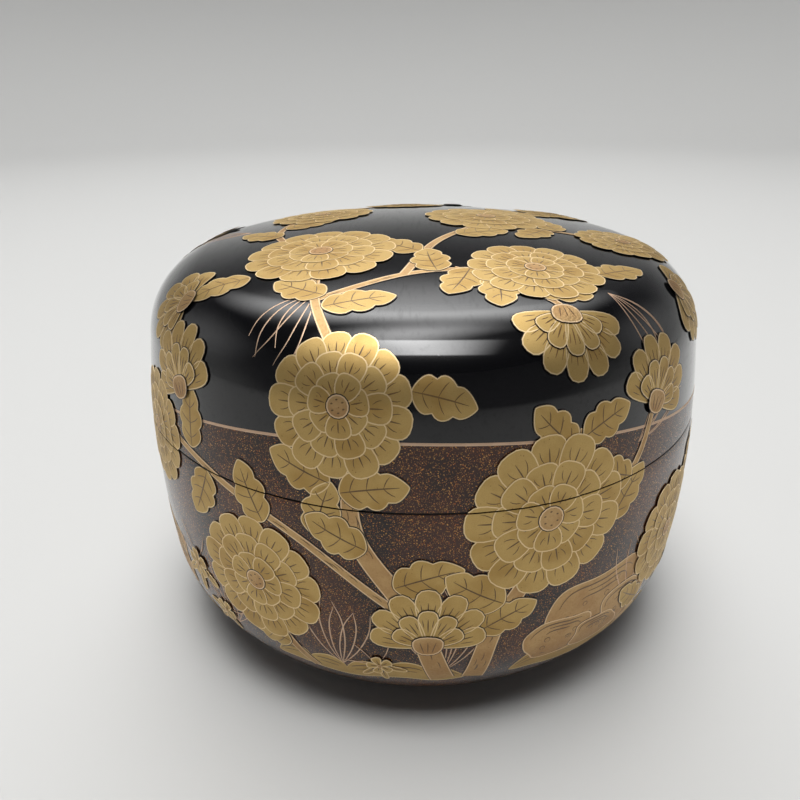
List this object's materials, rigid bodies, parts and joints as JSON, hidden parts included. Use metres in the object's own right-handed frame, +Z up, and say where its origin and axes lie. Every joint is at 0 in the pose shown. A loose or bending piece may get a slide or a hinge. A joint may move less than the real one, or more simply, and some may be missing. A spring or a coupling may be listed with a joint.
{
  "type": "tea caddy",
  "caption": "Round, flattened lacquered tea caddy with a lift-off lid over a collar, black above and gold-sprinkled brown below.",
  "frame": {"origin": "centre of the standing ring's plane, under the caddy's axis", "axes": "+Z up along the axis of the body and lid, -Y towards the front of the gold design"},
  "size_m": [0.082, 0.082, 0.059],
  "materials": {
    "turned_wood": "bare turned",
    "priming": "matt ground coat",
    "sprinkled_lacquer": "brown lacquer with gold flecks under a clear polished coat",
    "lid_lacquer": "mirror-polished black, sprinkled brown below the gold line",
    "inner_lacquer": "sprinkled brown, polished",
    "base_lacquer": "sprinkled brown, polished",
    "gold": "satin raised gold powder"
  },
  "bodies": {
    "body": {"body_wood_core": "turned_wood", "body_priming": "priming", "body_outer_lacquer": "sprinkled_lacquer", "base_lacquer": "base_lacquer", "body_inner_lacquer": "inner_lacquer", "collar_lacquer": "inner_lacquer"},
    "lid": {"lid_wood_core": "turned_wood", "lid_priming": "priming", "lid_outer_lacquer": "lid_lacquer", "lid_inner_lacquer": "inner_lacquer"}
  },
  "joints": [
    {"name": "lid_lift", "type": "slide", "parent": "body", "child": "lid", "axis": [0, 0, 1], "range_m": [0, 0.06]}
  ]
}
